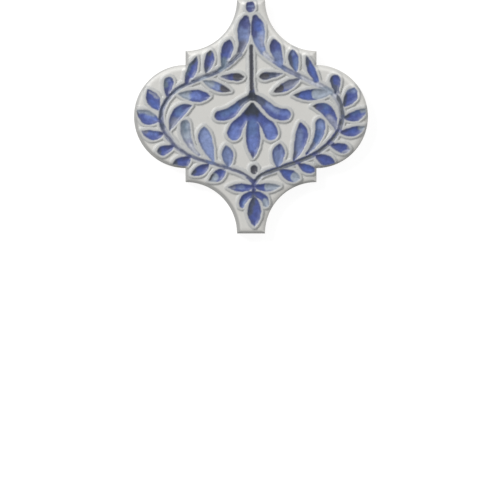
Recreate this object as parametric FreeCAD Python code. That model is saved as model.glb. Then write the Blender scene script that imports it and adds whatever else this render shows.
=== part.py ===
"""Arabesque wall tile: one pressed and fired ceramic piece, lying on its back with its glazed face up.

The origin is the middle of the back. +X is to the right and +Y is up the tile as it hangs on a wall,
and +Z points out of the glazed face. All lengths are in millimetres.

The outline interlocks: each side lobe is half a circle, and each hollow beside a neck is a quarter of the
same circle, so that the lobes of the neighbours fill the hollows. The face carries a leafy wreath and two
palmettes. Every leaf is a shallow basin that holds coloured glaze, inside a thin raised ridge of clay.
"""

import math
import os

import FreeCAD
import Part
from FreeCAD import Vector

# Driving dimensions of the body
TILE_SPAN = 150.0           # overall width, and overall height
NECK_WIDTH = 18.0           # straight end of the top neck and of the bottom neck
TILE_THICKNESS = 10.0       # from the back to the flat field of the face
EDGE_ROUND = 1.2            # rounding of the face's edge
EDGE_FACETS = 2             # bands that the rounding is made of

# Driving dimensions of the relief
RIDGE_WIDTH = 2.2           # clay ridge around each basin
RIDGE_HEIGHT = 0.9          # top of the ridge above the field
BASIN_DEPTH = 0.7           # floor of the basin below the field
RELIEF_LAND = 0.2           # flat land between the rounded edge and the relief

# Driving dimensions of the keyed back
KEY_GROOVE_WIDTH = 4.0
KEY_GROOVE_DEPTH = 0.8
KEY_GROOVE_PITCH = 11.0
KEY_BORDER = 9.0            # plain border between the outline and the grooves

# The ornament is set out in millimetres on a tile of this span, and drawn to the real one
SET_OUT_SPAN = 150.0

# Values that follow from the driving dimensions
HALF_SPAN = TILE_SPAN / 2
LOBE_RADIUS = (HALF_SPAN - NECK_WIDTH / 2) / 2
SHOULDER = HALF_SPAN - LOBE_RADIUS
DRAWING_SCALE = TILE_SPAN / SET_OUT_SPAN
RELIEF_INSET = EDGE_ROUND + RELIEF_LAND
FIELD_LEVEL = TILE_THICKNESS

# Tip shapes of a leaf, from sharp to round
SHARP = 0.0
SOFT = 0.4
BLUNT = 0.7
ROUND = 1.0

# A leaf is its foot, its tip, how far each side swells from the line between them, seen from the foot
# with the tip ahead, and the shape of its tip.
LEFT_OUTER_LEAVES = [
    ((-18.5, 30.0), (-13.8, 49.3), 3.7, 3.7, BLUNT),
    ((-29.2, 27.7), (-26.0, 42.5), 2.4, 3.6, SOFT),
    ((-42.3, 20.3), (-35.0, 38.3), 2.6, 3.4, SHARP),
    ((-54.2, 12.5), (-52.8, 25.3), 2.9, 3.4, ROUND),
    ((-59.2, 4.2), (-66.3, 17.2), 4.1, 3.9, SHARP),
    ((-58.8, -2.6), (-73.2, 3.9), 5.8, 2.9, SHARP),
    ((-56.0, -11.2), (-70.2, -9.2), 4.8, 1.2, SHARP),
    ((-49.5, -18.9), (-60.3, -22.4), 3.8, 2.4, BLUNT),
    ((-38.6, -26.2), (-50.2, -31.0), 5.0, 2.8, SOFT),
    ((-27.0, -30.4), (-38.4, -37.2), 3.6, 2.4, SHARP),
    ((-16.4, -33.2), (-27.1, -41.1), 4.2, 2.5, SHARP),
]
LEFT_INNER_LEAVES = [
    ((-19.4, 25.7), (-4.6, 25.2), 2.4, 2.4, BLUNT),
    ((-31.0, 23.0), (-13.1, 16.1), 2.3, 3.0, SHARP),
    ((-47.0, 14.5), (-26.4, 13.0), 3.4, 4.2, SOFT),
    ((-52.3, -9.0), (-38.1, 6.9), 7.2, 0.2, SOFT),
    ((-24.0, -29.2), (-30.3, -6.5), 5.7, 2.8, BLUNT),
    ((-14.6, -32.8), (-16.3, -18.7), 3.1, 4.1, SOFT),
]
RIGHT_OUTER_LEAVES = [
    ((19.8, 31.0), (14.2, 49.5), 4.2, 3.2, BLUNT),
    ((28.8, 28.3), (26.2, 43.0), 3.4, 3.0, SOFT),
    ((43.6, 20.8), (35.4, 38.9), 3.2, 1.5, SHARP),
    ((54.7, 14.0), (53.4, 26.6), 3.2, 3.4, ROUND),
    ((59.2, 6.4), (66.2, 18.5), 3.2, 4.9, SOFT),
    ((59.0, -0.8), (74.1, 5.2), 1.4, 5.0, SHARP),
    ((56.8, -10.2), (72.8, -6.4), 1.5, 4.3, SHARP),
    ((50.3, -17.8), (63.2, -20.8), 2.3, 3.8, BLUNT),
    ((41.0, -24.8), (53.4, -29.2), 2.6, 4.5, SOFT),
    ((29.8, -30.0), (41.4, -34.3), 1.6, 3.8, SOFT),
    ((17.9, -33.9), (31.3, -39.9), 2.8, 4.3, SOFT),
]
RIGHT_INNER_LEAVES = [
    ((19.9, 27.4), (5.1, 25.7), 2.4, 2.1, ROUND),
    ((31.5, 24.5), (14.0, 15.5), 3.1, 2.5, SHARP),
    ((52.5, 15.8), (27.0, 13.7), 4.2, 2.8, SHARP),
    ((54.3, -9.0), (39.2, 6.7), -1.1, 8.8, SOFT),
    ((26.8, -28.7), (31.3, -3.9), 1.3, 6.8, BLUNT),
    ((16.8, -33.0), (18.2, -17.4), 4.0, 3.8, SOFT),
]
PALMETTE_LEAVES = [
    ((0.6, 8.5), (1.2, -26.6), 4.8, 4.3, SOFT),
    ((2.2, -45.0), (-14.7, -45.3), 2.9, 2.0, SHARP),
    ((1.5, -45.0), (18.6, -44.6), 2.0, 3.0, SHARP),
    ((1.8, -51.0), (2.1, -70.4), 4.3, 4.2, SHARP),
]

# A stroke is a list of stations on its middle line, each with half its width there. Its ends are round.
LEFT_BRANCH = [
    (-3.4, 62.8, 1.9), (-4.2, 59.5, 3.6), (-4.8, 53.5, 3.9), (-5.4, 47.0, 2.6), (-7.6, 41.0, 1.5),
    (-13.5, 35.0, 1.2), (-21.5, 29.3, 1.2), (-33.0, 24.6, 1.2), (-44.0, 19.7, 1.2), (-52.0, 13.5, 1.2),
    (-56.6, 6.0, 1.3), (-58.0, -1.0, 1.4), (-55.2, -9.5, 1.6), (-48.5, -18.7, 1.3), (-39.0, -25.2, 1.1),
    (-27.0, -29.3, 1.0), (-13.0, -33.6, 1.0), (-4.0, -37.3, 0.9), (1.8, -42.5, 1.3),
]
RIGHT_BRANCH = [
    (2.6, 63.2, 1.9), (3.7, 59.5, 3.7), (4.5, 53.5, 4.2), (5.5, 46.5, 2.8), (8.5, 40.5, 1.6),
    (15.0, 35.2, 1.3), (22.0, 30.5, 1.4), (33.5, 24.8, 1.3), (44.5, 19.6, 1.4), (52.5, 14.8, 1.6),
    (56.8, 7.5, 1.4), (58.0, 0.0, 1.3), (56.0, -8.6, 1.4), (49.5, -17.1, 1.3), (40.0, -24.3, 1.2),
    (28.0, -29.3, 1.1), (15.0, -33.9, 1.0), (6.5, -37.4, 1.0), (1.8, -42.5, 1.3),
]
CURVED_LEAVES = [
    [(-33.3, -24.6, 0.5), (-37.5, -20.5, 1.3), (-40.4, -15.5, 2.3), (-42.0, -10.0, 3.0),
     (-42.4, -5.1, 2.8)],
    [(35.3, -24.0, 0.5), (38.5, -20.3, 1.3), (41.5, -16.0, 2.0), (43.6, -11.0, 2.8), (44.2, -4.4, 3.0)],
]
PALMETTE_STROKES = [
    [(0.4, 45.0, 0.5), (0.5, 35.0, 0.8), (0.5, 24.0, 0.8), (0.5, 18.0, 1.1), (0.6, 12.8, 2.6)],
    [(0.3, 12.8, 1.8), (-4.5, 10.2, 1.9), (-8.5, 6.8, 2.6), (-12.3, 3.1, 3.4), (-20.5, 0.6, 2.9)],
    [(1.0, 12.8, 1.8), (6.0, 10.2, 2.1), (10.0, 6.8, 2.8), (13.7, 3.3, 3.4), (21.7, 1.3, 3.5)],
    [(0.4, 8.0, 0.8), (-1.8, 3.0, 2.3), (-5.3, -1.8, 2.9), (-9.3, -6.5, 4.0), (-11.0, -10.7, 4.3)],
    [(0.9, 8.0, 0.8), (3.0, 3.0, 2.3), (6.6, -1.8, 2.9), (11.0, -6.5, 4.0), (12.7, -10.7, 4.3)],
    [(1.8, -42.5, 1.3), (1.8, -46.0, 0.8), (1.8, -49.5, 0.8)],
    [(-5.9, -56.8, 1.5), (-5.2, -53.9, 2.2), (-2.6, -51.0, 2.2), (1.8, -49.8, 1.9), (6.0, -50.7, 2.0),
     (8.7, -53.4, 2.1), (9.4, -56.2, 1.7)],
]

# A dot is its middle, and half its width and height.
DOTS = [
    ((-0.6, 70.6), 2.7, 3.6),
    ((1.9, -34.0), 2.1, 2.7),
]

# Shape of a leaf's side, as shares of the leaf's length and swell
FOOT_HANDLE = 0.32          # how far along the leaf the side leaves its foot
TIP_HANDLE = 0.68           # how far along the leaf the side turns in to a sharp tip
ROUND_TIP_REACH = 0.34      # how much further along it turns in to a round tip
HANDLE_SWELL = 4 / 3        # a cubic side reaches three quarters of the way to its handles
ROUND_FOOT_SLIMMING = 0.35  # a leaf with a round tip is slimmer at its foot
ROUND_TIP_FILLING = 0.15    # and fuller at its tip
SIDE_STEPS = 4              # a side is drawn as arcs, each over two of these steps
STRAIGHT_RISE = 0.005       # an arc that rises less than this is drawn straight


def outline_wire(inset, level):
    """The tile's outline at a level, moved inwards by the inset, as arcs and straight runs."""
    hollow = LOBE_RADIUS + inset
    lobe = LOBE_RADIUS - inset
    end = HALF_SPAN - inset
    side = SHOULDER - inset
    neck = SHOULDER - math.sqrt(hollow**2 - inset**2)
    lobe_start = math.sqrt(lobe**2 - inset**2)
    diagonal = hollow * math.sqrt(0.5)

    def point(x, y):
        return Vector(x, y, level)

    def arc(start, middle, finish):
        return Part.Arc(point(*start), point(*middle), point(*finish)).toShape()

    def run(start, finish):
        return Part.LineSegment(point(*start), point(*finish)).toShape()

    hollow_low = HALF_SPAN - math.sqrt(hollow**2 - inset**2)
    edges = [
        run((-neck, end), (neck, end)),
        arc((neck, end), (SHOULDER - diagonal, HALF_SPAN - diagonal), (side, hollow_low)),
        run((side, hollow_low), (side, lobe_start)),
        arc((side, lobe_start), (SHOULDER + lobe, 0), (side, -lobe_start)),
        run((side, -lobe_start), (side, -hollow_low)),
        arc((side, -hollow_low), (SHOULDER - diagonal, diagonal - HALF_SPAN), (neck, -end)),
        run((neck, -end), (-neck, -end)),
        arc((-neck, -end), (diagonal - SHOULDER, diagonal - HALF_SPAN), (-side, -hollow_low)),
        run((-side, -hollow_low), (-side, -lobe_start)),
        arc((-side, -lobe_start), (-SHOULDER - lobe, 0), (-side, lobe_start)),
        run((-side, lobe_start), (-side, hollow_low)),
        arc((-side, hollow_low), (diagonal - SHOULDER, HALF_SPAN - diagonal), (-neck, end)),
    ]
    return Part.Wire(edges)


def tile_body():
    """The plain tile: the outline raised straight, then drawn in ring by ring over the rounded edge."""
    rings = []
    for step in range(EDGE_FACETS + 1):
        turn = math.pi / 2 * step / EDGE_FACETS
        inset = EDGE_ROUND * (1 - math.cos(turn))
        level = FIELD_LEVEL - EDGE_ROUND * (1 - math.sin(turn))
        rings.append(outline_wire(inset, level))
    straight = Part.Face(outline_wire(0, 0)).extrude(Vector(0, 0, FIELD_LEVEL - EDGE_ROUND))
    return straight.fuse(Part.makeLoft(rings, True, True)).removeSplitter()


def half_width_at(y):
    """Half the tile's width at a height above or below its middle."""
    height = abs(y)
    if height < LOBE_RADIUS:
        return SHOULDER + math.sqrt(LOBE_RADIUS**2 - height**2)
    if height < SHOULDER:
        return SHOULDER
    return SHOULDER - math.sqrt(LOBE_RADIUS**2 - (HALF_SPAN - height)**2)


def key_grooves():
    """Shallow grooves in the back, in level rows inside a plain border, to give mortar its hold."""
    rows = int((HALF_SPAN - KEY_BORDER - KEY_GROOVE_WIDTH / 2) / KEY_GROOVE_PITCH + 0.5)
    grooves = []
    for row in range(-rows, rows):
        low = (row + 0.5) * KEY_GROOVE_PITCH - KEY_GROOVE_WIDTH / 2
        half = min(half_width_at(low), half_width_at(low + KEY_GROOVE_WIDTH)) - KEY_BORDER
        if half > KEY_GROOVE_WIDTH:
            corner = Vector(-half, low, 0)
            grooves.append(Part.makeBox(2 * half, KEY_GROOVE_WIDTH, KEY_GROOVE_DEPTH, corner))
    return Part.makeCompound(grooves)


def drawn(x, y):
    """A point of the drawing, at the tile's real size."""
    return Vector(x * DRAWING_SCALE, y * DRAWING_SCALE, 0)


def arc_edge(start, middle, finish):
    """An arc through three points, or a straight run where they lie in line."""
    chord = finish - start
    rise = (middle - start).cross(chord).Length / chord.Length
    if rise < STRAIGHT_RISE:
        return Part.LineSegment(start, finish).toShape()
    return Part.Arc(start, middle, finish).toShape()


def leaf_face(foot, tip, left, right, tip_shape, margin):
    """A leaf between two swelling sides that meet at foot and tip, grown all round by the margin."""
    start = drawn(*foot)
    finish = drawn(*tip)
    along = (finish - start).normalize()
    across = Vector(-along.y, along.x, 0)
    start = start - along * margin
    finish = finish + along * margin
    length = (finish - start).Length

    def side(swell, direction):
        reach = direction * HANDLE_SWELL * (swell * DRAWING_SCALE + margin)
        near = start + along * (FOOT_HANDLE * length)
        near += across * (reach * (1 - ROUND_FOOT_SLIMMING * tip_shape))
        far = start + along * ((TIP_HANDLE + ROUND_TIP_REACH * tip_shape) * length)
        far += across * (reach * (1 + ROUND_TIP_FILLING * tip_shape))
        curve = Part.BezierCurve()
        curve.setPoles([start, near, far, finish])
        points = [curve.value(step / SIDE_STEPS) for step in range(SIDE_STEPS + 1)]
        return [arc_edge(*points[i:i + 3]) for i in range(0, SIDE_STEPS, 2)]

    edges = side(left, 1) + side(right, -1)
    return Part.Face(Part.Wire(Part.__sortEdges__(edges)))


def headings(points):
    """The direction of a smooth line at each of its points."""
    spans = [after - before for before, after in zip(points, points[1:])]
    found = []
    for before, after in zip(spans, spans[1:]):
        turn = before * (after.Length / before.Length) + after * (before.Length / after.Length)
        found.append(turn.normalize())

    def mirrored(heading, span):
        chord = Vector(span).normalize()
        return chord * (2 * chord.dot(heading)) - heading

    return [mirrored(found[0], spans[0])] + found + [mirrored(found[-1], spans[-1])]


def smooth_edges(points):
    """Arcs from point to point, each bent as the line's directions at its two ends ask."""
    ways = headings(points)
    edges = []
    for i in range(len(points) - 1):
        span = (points[i + 1] - points[i]).Length
        middle = (points[i] + points[i + 1]) * 0.5 + (ways[i] - ways[i + 1]) * (span / 8)
        edges.append(arc_edge(points[i], middle, points[i + 1]))
    return edges


def stroke_face(stations, margin):
    """A ribbon along the stations, as wide as they say, round at its ends, grown by the margin."""
    middle = [drawn(x, y) for x, y, _ in stations]
    reach = [half * DRAWING_SCALE + margin for _, _, half in stations]
    ways = headings(middle)
    left = []
    right = []
    for point, half, way in zip(middle, reach, ways):
        across = Vector(-way.y, way.x, 0)
        left.append(point + across * half)
        right.append(point - across * half)
    first = arc_edge(left[0], middle[0] - ways[0] * reach[0], right[0])
    last = arc_edge(left[-1], middle[-1] + ways[-1] * reach[-1], right[-1])
    edges = smooth_edges(left) + smooth_edges(right) + [first, last]
    return Part.Face(Part.Wire(Part.__sortEdges__(edges)))


def dot_face(middle, half_width, half_height, margin):
    """An upright dot with round ends and straight sides, grown all round by the margin."""
    centre = drawn(*middle)
    radius = half_width * DRAWING_SCALE + margin
    straight = (half_height - half_width) * DRAWING_SCALE
    signs = [(-1, 1), (1, 1), (1, -1), (-1, -1)]
    corners = [centre + Vector(x * radius, y * straight, 0) for x, y in signs]
    top = centre + Vector(0, straight + radius, 0)
    bottom = centre - Vector(0, straight + radius, 0)
    edges = [
        Part.Arc(corners[0], top, corners[1]).toShape(),
        Part.LineSegment(corners[1], corners[2]).toShape(),
        Part.Arc(corners[2], bottom, corners[3]).toShape(),
        Part.LineSegment(corners[3], corners[0]).toShape(),
    ]
    return Part.Face(Part.Wire(edges))


def ornament_faces(margin):
    """Every leaf, stroke and dot of the drawing, grown by the margin and joined where they meet."""
    faces = []
    left_leaves = LEFT_OUTER_LEAVES + LEFT_INNER_LEAVES
    right_leaves = RIGHT_OUTER_LEAVES + RIGHT_INNER_LEAVES
    for foot, tip, left, right, tip_shape in left_leaves + right_leaves + PALMETTE_LEAVES:
        faces.append(leaf_face(foot, tip, left, right, tip_shape, margin))
    for stations in [LEFT_BRANCH, RIGHT_BRANCH] + CURVED_LEAVES + PALMETTE_STROKES:
        faces.append(stroke_face(stations, margin))
    for middle, half_width, half_height in DOTS:
        faces.append(dot_face(middle, half_width, half_height, margin))
    return faces[0].multiFuse(faces[1:]).removeSplitter()


def relief_solid(margin, low, high):
    """The drawing, grown by the margin and raised from one level to another, kept inside the outline."""
    limit = Part.Face(outline_wire(RELIEF_INSET, 0))
    drawing = limit.common(ornament_faces(margin)).removeSplitter()
    drawing.translate(Vector(0, 0, low))
    return drawing.extrude(Vector(0, 0, high - low))


def arabesque_tile():
    """The whole tile: body, back grooves, ridges on the face and basins inside the ridges."""
    root = FIELD_LEVEL - EDGE_ROUND
    crest = FIELD_LEVEL + RIDGE_HEIGHT
    ridges = relief_solid(RIDGE_WIDTH, root, crest)
    basins = relief_solid(0, FIELD_LEVEL - BASIN_DEPTH, crest + RIDGE_HEIGHT)
    tile = tile_body().cut(key_grooves())
    tile = tile.fuse(ridges).cut(basins).removeSplitter()
    return tile.Solids[0]


os.makedirs("parts", exist_ok=True)
tile = arabesque_tile()
tile.exportStep("parts/arabesque_tile.step")
print("valid", tile.isValid(), "volume", round(tile.Volume / 1000, 2), "cm3, faces", len(tile.Faces))
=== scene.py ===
# %% [markdown]
# # An arabesque tile in blue and white
#
# The real tile is pressed from damp clay in one stroke. Thin ridges of clay stand round every leaf, and
# each leaf is a shallow basin. The tile is dipped in white glaze, coloured glazes are dropped into the
# basins with a brush, and the ridges keep the colours apart while they melt. This lesson starts from the
# pressed tile, which the frame holds at its real size, and lays over it the soft skin that melted glaze
# leaves.

import math

import bpy
import numpy as np
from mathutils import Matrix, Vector, geometry, noise
from mathutils.bvhtree import BVHTree


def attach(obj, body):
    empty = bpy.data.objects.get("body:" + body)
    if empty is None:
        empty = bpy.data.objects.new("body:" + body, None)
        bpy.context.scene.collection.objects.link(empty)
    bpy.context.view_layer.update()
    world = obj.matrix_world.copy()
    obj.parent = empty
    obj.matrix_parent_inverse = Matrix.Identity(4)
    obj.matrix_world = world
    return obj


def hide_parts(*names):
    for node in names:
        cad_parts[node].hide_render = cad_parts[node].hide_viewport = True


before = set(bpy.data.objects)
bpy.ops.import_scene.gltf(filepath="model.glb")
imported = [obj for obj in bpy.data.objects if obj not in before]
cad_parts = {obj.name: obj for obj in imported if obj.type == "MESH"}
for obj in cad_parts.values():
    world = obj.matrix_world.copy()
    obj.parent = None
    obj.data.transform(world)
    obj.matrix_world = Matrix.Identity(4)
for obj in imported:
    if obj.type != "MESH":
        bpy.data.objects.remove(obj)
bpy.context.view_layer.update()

# %% [markdown]
# ## Measuring the pressed tile
#
# A glazer takes the tile as the press leaves it, so nothing is drawn twice here: the levels of the face,
# the span and the width of the neck are all read from the frame's mesh. Level faces are the triangles
# whose corners share one height, and their heights are, from the back up: back, groove, basin floor,
# field and ridge.

# %% Read its levels and its outline's sizes
MM = 0.001
LEVEL_SLACK = 0.01          # two heights closer than this are one level, in millimetres
LEAST_LEVEL_AREA = 100.0    # a real level has at least this area, in square millimetres

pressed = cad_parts["arabesque_tile"].data
corners = np.empty(len(pressed.vertices) * 3)
pressed.vertices.foreach_get("co", corners)
corners = corners.reshape(-1, 3) / MM
pressed.calc_loop_triangles()
triangles = np.empty(len(pressed.loop_triangles) * 3, dtype=int)
pressed.loop_triangles.foreach_get("vertices", triangles)
triangles = triangles.reshape(-1, 3)
heights = corners[triangles][:, :, 2]
lowest = heights.min(axis=1)
highest = heights.max(axis=1)
side_a = corners[triangles[:, 1]] - corners[triangles[:, 0]]
side_b = corners[triangles[:, 2]] - corners[triangles[:, 0]]
areas = np.linalg.norm(np.cross(side_a, side_b), axis=1) / 2


def level_triangles(level):
    """Which triangles lie flat at a level."""
    return (np.abs(lowest - level) < LEVEL_SLACK) & (np.abs(highest - level) < LEVEL_SLACK)


flat_heights = np.unique(lowest[highest - lowest < LEVEL_SLACK].round(2))
levels = [level for level in flat_heights if areas[level_triangles(level)].sum() > LEAST_LEVEL_AREA]
back, groove_ceiling, basin_floor, field, crest = levels
half_span = corners[:, 1].max()
neck_half = np.abs(corners[corners[:, 1] > half_span - LEVEL_SLACK][:, 0]).max()
lobe_radius = (half_span - neck_half) / 2
shoulder = half_span - lobe_radius
print("levels", levels, "half span", half_span, "half neck", neck_half, "lobe radius", lobe_radius)

# %% [markdown]
# ## The outline
#
# The outline is one quarter mirrored four ways: a quarter of the round side lobe, a short straight
# shoulder, a quarter-circle hollow of the same radius, and half of the straight neck end. Drawing it from
# its arcs, and not from the mesh, keeps the edge round however close the camera comes. The same function
# draws it again further in, for the rows of points that the rounded edge and the bevelled foot need.

# %% Draw rings of the outline
RING_STEP = 0.5             # spacing of the points along the outline, in millimetres


def arc_points(centre, radius, start, finish, count):
    turn = np.linspace(start, finish, count + 1)[:-1]
    return np.stack([centre[0] + radius * np.cos(turn), centre[1] + radius * np.sin(turn)], axis=1)


def run_points(start, finish, count):
    share = np.linspace(0, 1, count + 1)[:-1, None]
    return np.array(start) * (1 - share) + np.array(finish) * share


def outline_ring(inset):
    """The outline moved inwards, as points that go round it from the right lobe, anticlockwise."""
    hollow = lobe_radius + inset
    lobe = lobe_radius - inset
    reach = math.sqrt(hollow**2 - inset**2)
    side = shoulder - inset
    end = half_span - inset
    quarter_turn = math.pi / 2
    arc_count = round(quarter_turn * lobe_radius / RING_STEP)
    run_count = round(neck_half / RING_STEP)
    tuck = math.asin(inset / lobe)
    flare = math.asin(inset / hollow)
    quarter = np.concatenate([
        arc_points((shoulder, 0), lobe, 0, quarter_turn + tuck, arc_count),
        run_points((side, math.sqrt(lobe**2 - inset**2)), (side, half_span - reach), run_count),
        arc_points((shoulder, half_span), hollow, -quarter_turn - flare, flare - math.pi, arc_count),
        run_points((shoulder - reach, end), (0, end), run_count),
        [(0, end)],
    ])
    mirrored = quarter[::-1] * (-1, 1)
    half = np.concatenate([quarter[:-1], mirrored[:-1]])
    return np.concatenate([half, -half])


outline = outline_ring(0)
ring_count = len(outline)
print("outline of", ring_count, "points, spans", np.ptp(outline, axis=0))

# %% [markdown]
# ## How far is the nearest basin?
#
# Melted glaze rounds everything off, and how much depends only on how far a spot is from the nearest
# basin wall and from the tile's edge. Both distances come from upright walls in a search tree: the
# pressed basin walls for the one, and a curtain hung on the outline for the other. A spot is inside a
# basin where a plumb line dropped on the pressed tile lands on a basin floor.

# %% Distances to the basins and to the edge
BASIN_LIMIT = 1.0           # no basin comes closer to the tile's edge than this, in millimetres

gauge_level = (basin_floor + field) / 2
is_basin_wall = (np.abs(lowest - basin_floor) < LEVEL_SLACK) & (highest > field - LEVEL_SLACK)
basin_walls = BVHTree.FromPolygons(corners.tolist(), triangles[is_basin_wall].tolist())
whole_tile = BVHTree.FromPolygons(corners.tolist(), triangles.tolist())
curtain = [(x, y, -1) for x, y in outline] + [(x, y, 1) for x, y in outline]
after = [(i + 1) % ring_count for i in range(ring_count)]
panels = [(i, after[i], ring_count + after[i], ring_count + i) for i in range(ring_count)]
edge_curtain = BVHTree.FromPolygons(curtain, panels)


def landing(x, y):
    """Where a plumb line dropped on the pressed tile lands, or None beside the tile."""
    return whole_tile.ray_cast((x, y, crest + 1), (0, 0, -1))[0]


def edge_distance(spots):
    """How far each spot lies inside the tile's edge."""
    return np.array([edge_curtain.find_nearest((x, y, 0))[3] for x, y in spots])


def basin_distance(spots):
    """How far each spot is from the nearest basin wall, negative inside a basin, and where that wall is."""
    inside = edge_distance(spots) > BASIN_LIMIT
    distance = np.empty(len(spots))
    nearest = np.empty((len(spots), 2))
    for i, (x, y) in enumerate(spots):
        found, _, _, away = basin_walls.find_nearest((x, y, gauge_level))
        landed = landing(x, y)
        sunk = inside[i] and landed is not None and abs(landed.z - basin_floor) < LEVEL_SLACK
        distance[i] = -away if sunk else away
        nearest[i] = found.xy
    return distance, nearest


print("basin wall triangles:", int(is_basin_wall.sum()))

# %% [markdown]
# ## Where the points go
#
# A plain grid would cut the thin ridges into steps. Here a fine triangular lattice is laid over the face,
# and each point near a basin slides along the shortest way to the basin's wall until it stands on the
# nearest of a few rows that follow that wall. The rows then carry the ridge's roundness, as contour lines
# carry a hill's. Out on the flat field most points are dropped, because nothing happens there.

# %% Set out the face's points
LATTICE = 0.46              # spacing of the lattice, in millimetres
WALL_ROWS = np.array([-1.1, -0.75, -0.4, -0.05, 0.3, 0.65, 1.0, 1.4, 1.8, 2.2, 2.6])
ROW_SLACK = 0.3             # points further than this beyond the rows stay where they are
EDGE_ROWS = [0, 0.03, 0.12, 0.3, 0.55, 0.85, 1.2]   # rows that follow the edge, this far inside it
LATTICE_START = 1.5         # the lattice begins this far inside the edge
CROWD = 0.24                # of points closer than about this, one is kept

column = np.arange(-half_span, half_span, LATTICE)
row = np.arange(-half_span, half_span, LATTICE * math.sqrt(0.75))
across, along = np.meshgrid(np.arange(len(column)), np.arange(len(row)))
lattice = np.stack([column[across] + (along % 2) * LATTICE / 2, row[along]], axis=-1).reshape(-1, 2)
sparse = ((across % 2 == 0) & (along % 2 == 0)).reshape(-1)
on_tile = [landing(x, y) is not None for x, y in lattice]
lattice = lattice[on_tile]
sparse = sparse[on_tile]
roomy = edge_distance(lattice) > LATTICE_START
lattice = lattice[roomy]
sparse = sparse[roomy]
distance, nearest = basin_distance(lattice)
wanted = WALL_ROWS[np.abs(distance[:, None] - WALL_ROWS[None]).argmin(axis=1)]
near = (distance > WALL_ROWS[0] - ROW_SLACK) & (distance < WALL_ROWS[-1] + ROW_SLACK)
near &= np.abs(distance) > LEVEL_SLACK
slid = nearest + (lattice - nearest) * (wanted / np.where(near, distance, 1))[:, None]
spots = np.where(near[:, None], slid, lattice)
spots = spots[near | (distance < 0) | sparse]
spots = spots[edge_distance(spots) > EDGE_ROWS[-1] + CROWD]
cells = (spots / CROWD).round().astype(int)
spots = spots[np.sort(np.unique(cells, axis=0, return_index=True)[1])]
face_points = np.concatenate([outline_ring(inset) for inset in EDGE_ROWS] + [spots])
print("face points:", len(face_points))

# %% [markdown]
# ## A skin over the points
#
# Joining loose points into the best-shaped triangles is called Delaunay triangulation, and Blender has it
# built in. Given the outline as a face, it keeps only the triangles inside. It may merge points that fall
# together, so the function also says where each point of the outline has gone, for the side wall to be
# sewn to.

# %% Join points into triangles
SAME_POINT = 1e-5


def skin(points):
    """Triangles over points of which the first are an outline ring, and the ring's new places."""
    flat_points = [Vector(point) for point in points]
    ring = list(range(ring_count))
    plan, _, faces, sources, _, _ = geometry.delaunay_2d_cdt(flat_points, [], [ring], 1, SAME_POINT)
    place = {source: i for i, group in enumerate(sources) for source in group}
    return np.array(plan), faces, [place[i] for i in ring]


face_plan, face_triangles, face_rim = skin(face_points)
face_basin, _ = basin_distance(face_plan)
face_edge = edge_distance(face_plan)
print("face triangles:", len(face_triangles))

# %% [markdown]
# ## The height of the glazed face
#
# Under the glaze the press left square walls. Melted glaze stands in each basin as a bowl that climbs to
# the ridge, thins over the crest and rolls over the tile's edge. The kiln shelf leaned a little, so every
# bowl has crept to the lower right: its wall is short and steep there, and long on the other side. The
# lower of two curves, the bowl's and the ridge's outer slope, gives the whole relief. It never rises
# above the pressed ridge. A slow ripple keeps the field from looking machined.

# %% Shape the face
BOWL_DEPTH = 0.4            # middle of a basin's glaze below the field, in millimetres
BOWL_REACH = 3.4            # the glaze starts to climb this far from the pressed wall
BOWL_CURVE = 2.5            # how late it climbs: more is later and steeper
RIDGE_RISE = 0.84           # crest above the field
WALL_TOP = 0.35             # where the climb ends on the crest, outside the pressed wall
SLOPE_TOP = 1.5             # where the outer slope leaves the crest
SLOPE_FOOT = 2.5            # and where it meets the field
MELT_CREEP = np.array((0.35, -0.3))     # how far the melt has run to the lower right
EDGE_DROP = 1.2             # how far the rounded edge falls
EDGE_REACH = 3.7            # and how wide it is
RELIEF_FADE = 1.3           # the relief dies away over this width at the edge
RIPPLE = 0.035              # height of the field's ripple
RIPPLE_LENGTH = 14.0
WAVER = 0.3                 # how far the ridges stray from their line
WAVER_LENGTH = 3.2


def smooth(start, finish, value):
    share = np.clip((value - start) / (finish - start), 0, 1)
    return share * share * (3 - 2 * share)


def uneven(spots, length, layer):
    """A smooth random value between minus one and one at each spot."""
    return np.array([noise.noise((x / length, y / length, layer)) for x, y in spots])


def edge_fall(edge):
    return EDGE_DROP * (1 - np.clip(edge / EDGE_REACH, 0, 1)) ** 2


crept_basin, _ = basin_distance(face_plan - MELT_CREEP)
waver = WAVER * uneven(face_plan, WAVER_LENGTH, 0)
ridge_line = face_basin + waver
melt_line = crept_basin + waver
climb = np.clip((melt_line + BOWL_REACH) / (WALL_TOP + BOWL_REACH), 0, 1)
wall_height = (RIDGE_RISE + BOWL_DEPTH) * climb**BOWL_CURVE - BOWL_DEPTH
slope_height = RIDGE_RISE * (1 - smooth(SLOPE_TOP, SLOPE_FOOT, ridge_line))
relief = np.minimum(wall_height, slope_height)
relief += RIPPLE * uneven(face_plan, RIPPLE_LENGTH, 1)
relief *= smooth(0, RELIEF_FADE, face_edge)
face_level = np.minimum(field + relief - edge_fall(face_edge), crest)
print("face from", round(face_level.min(), 2), "to", round(face_level.max(), 2), "mm above the floor")

# %% [markdown]
# ## The keyed back
#
# The back was never glazed. Its shallow grooves give mortar something to grip. Their rectangles are read
# from the pressed mesh, and the points follow them in rows too, so that the press's slightly rounded
# groove edges show. The distance from a rectangle is worked out with the usual trick of folding it to one
# corner.

# %% Set out the back
GROOVE_ROWS = [-1.2, -0.8, -0.45, -0.1, 0.25, 0.6]
GROOVE_LEAN = (-0.8, 0.25)  # the groove's side leans between these distances from its pressed edge
GROOVE_STEP = 2.0           # spacing of the points along a groove
GROOVE_END_POINTS = 4       # points across its end
BACK_THINNING = 7           # one in this many of the face's lattice points is tried on the back
BACK_LATTICE = 2.4          # and about this spacing is kept
BACK_INSET = 0.5            # width of the bevelled foot

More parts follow.
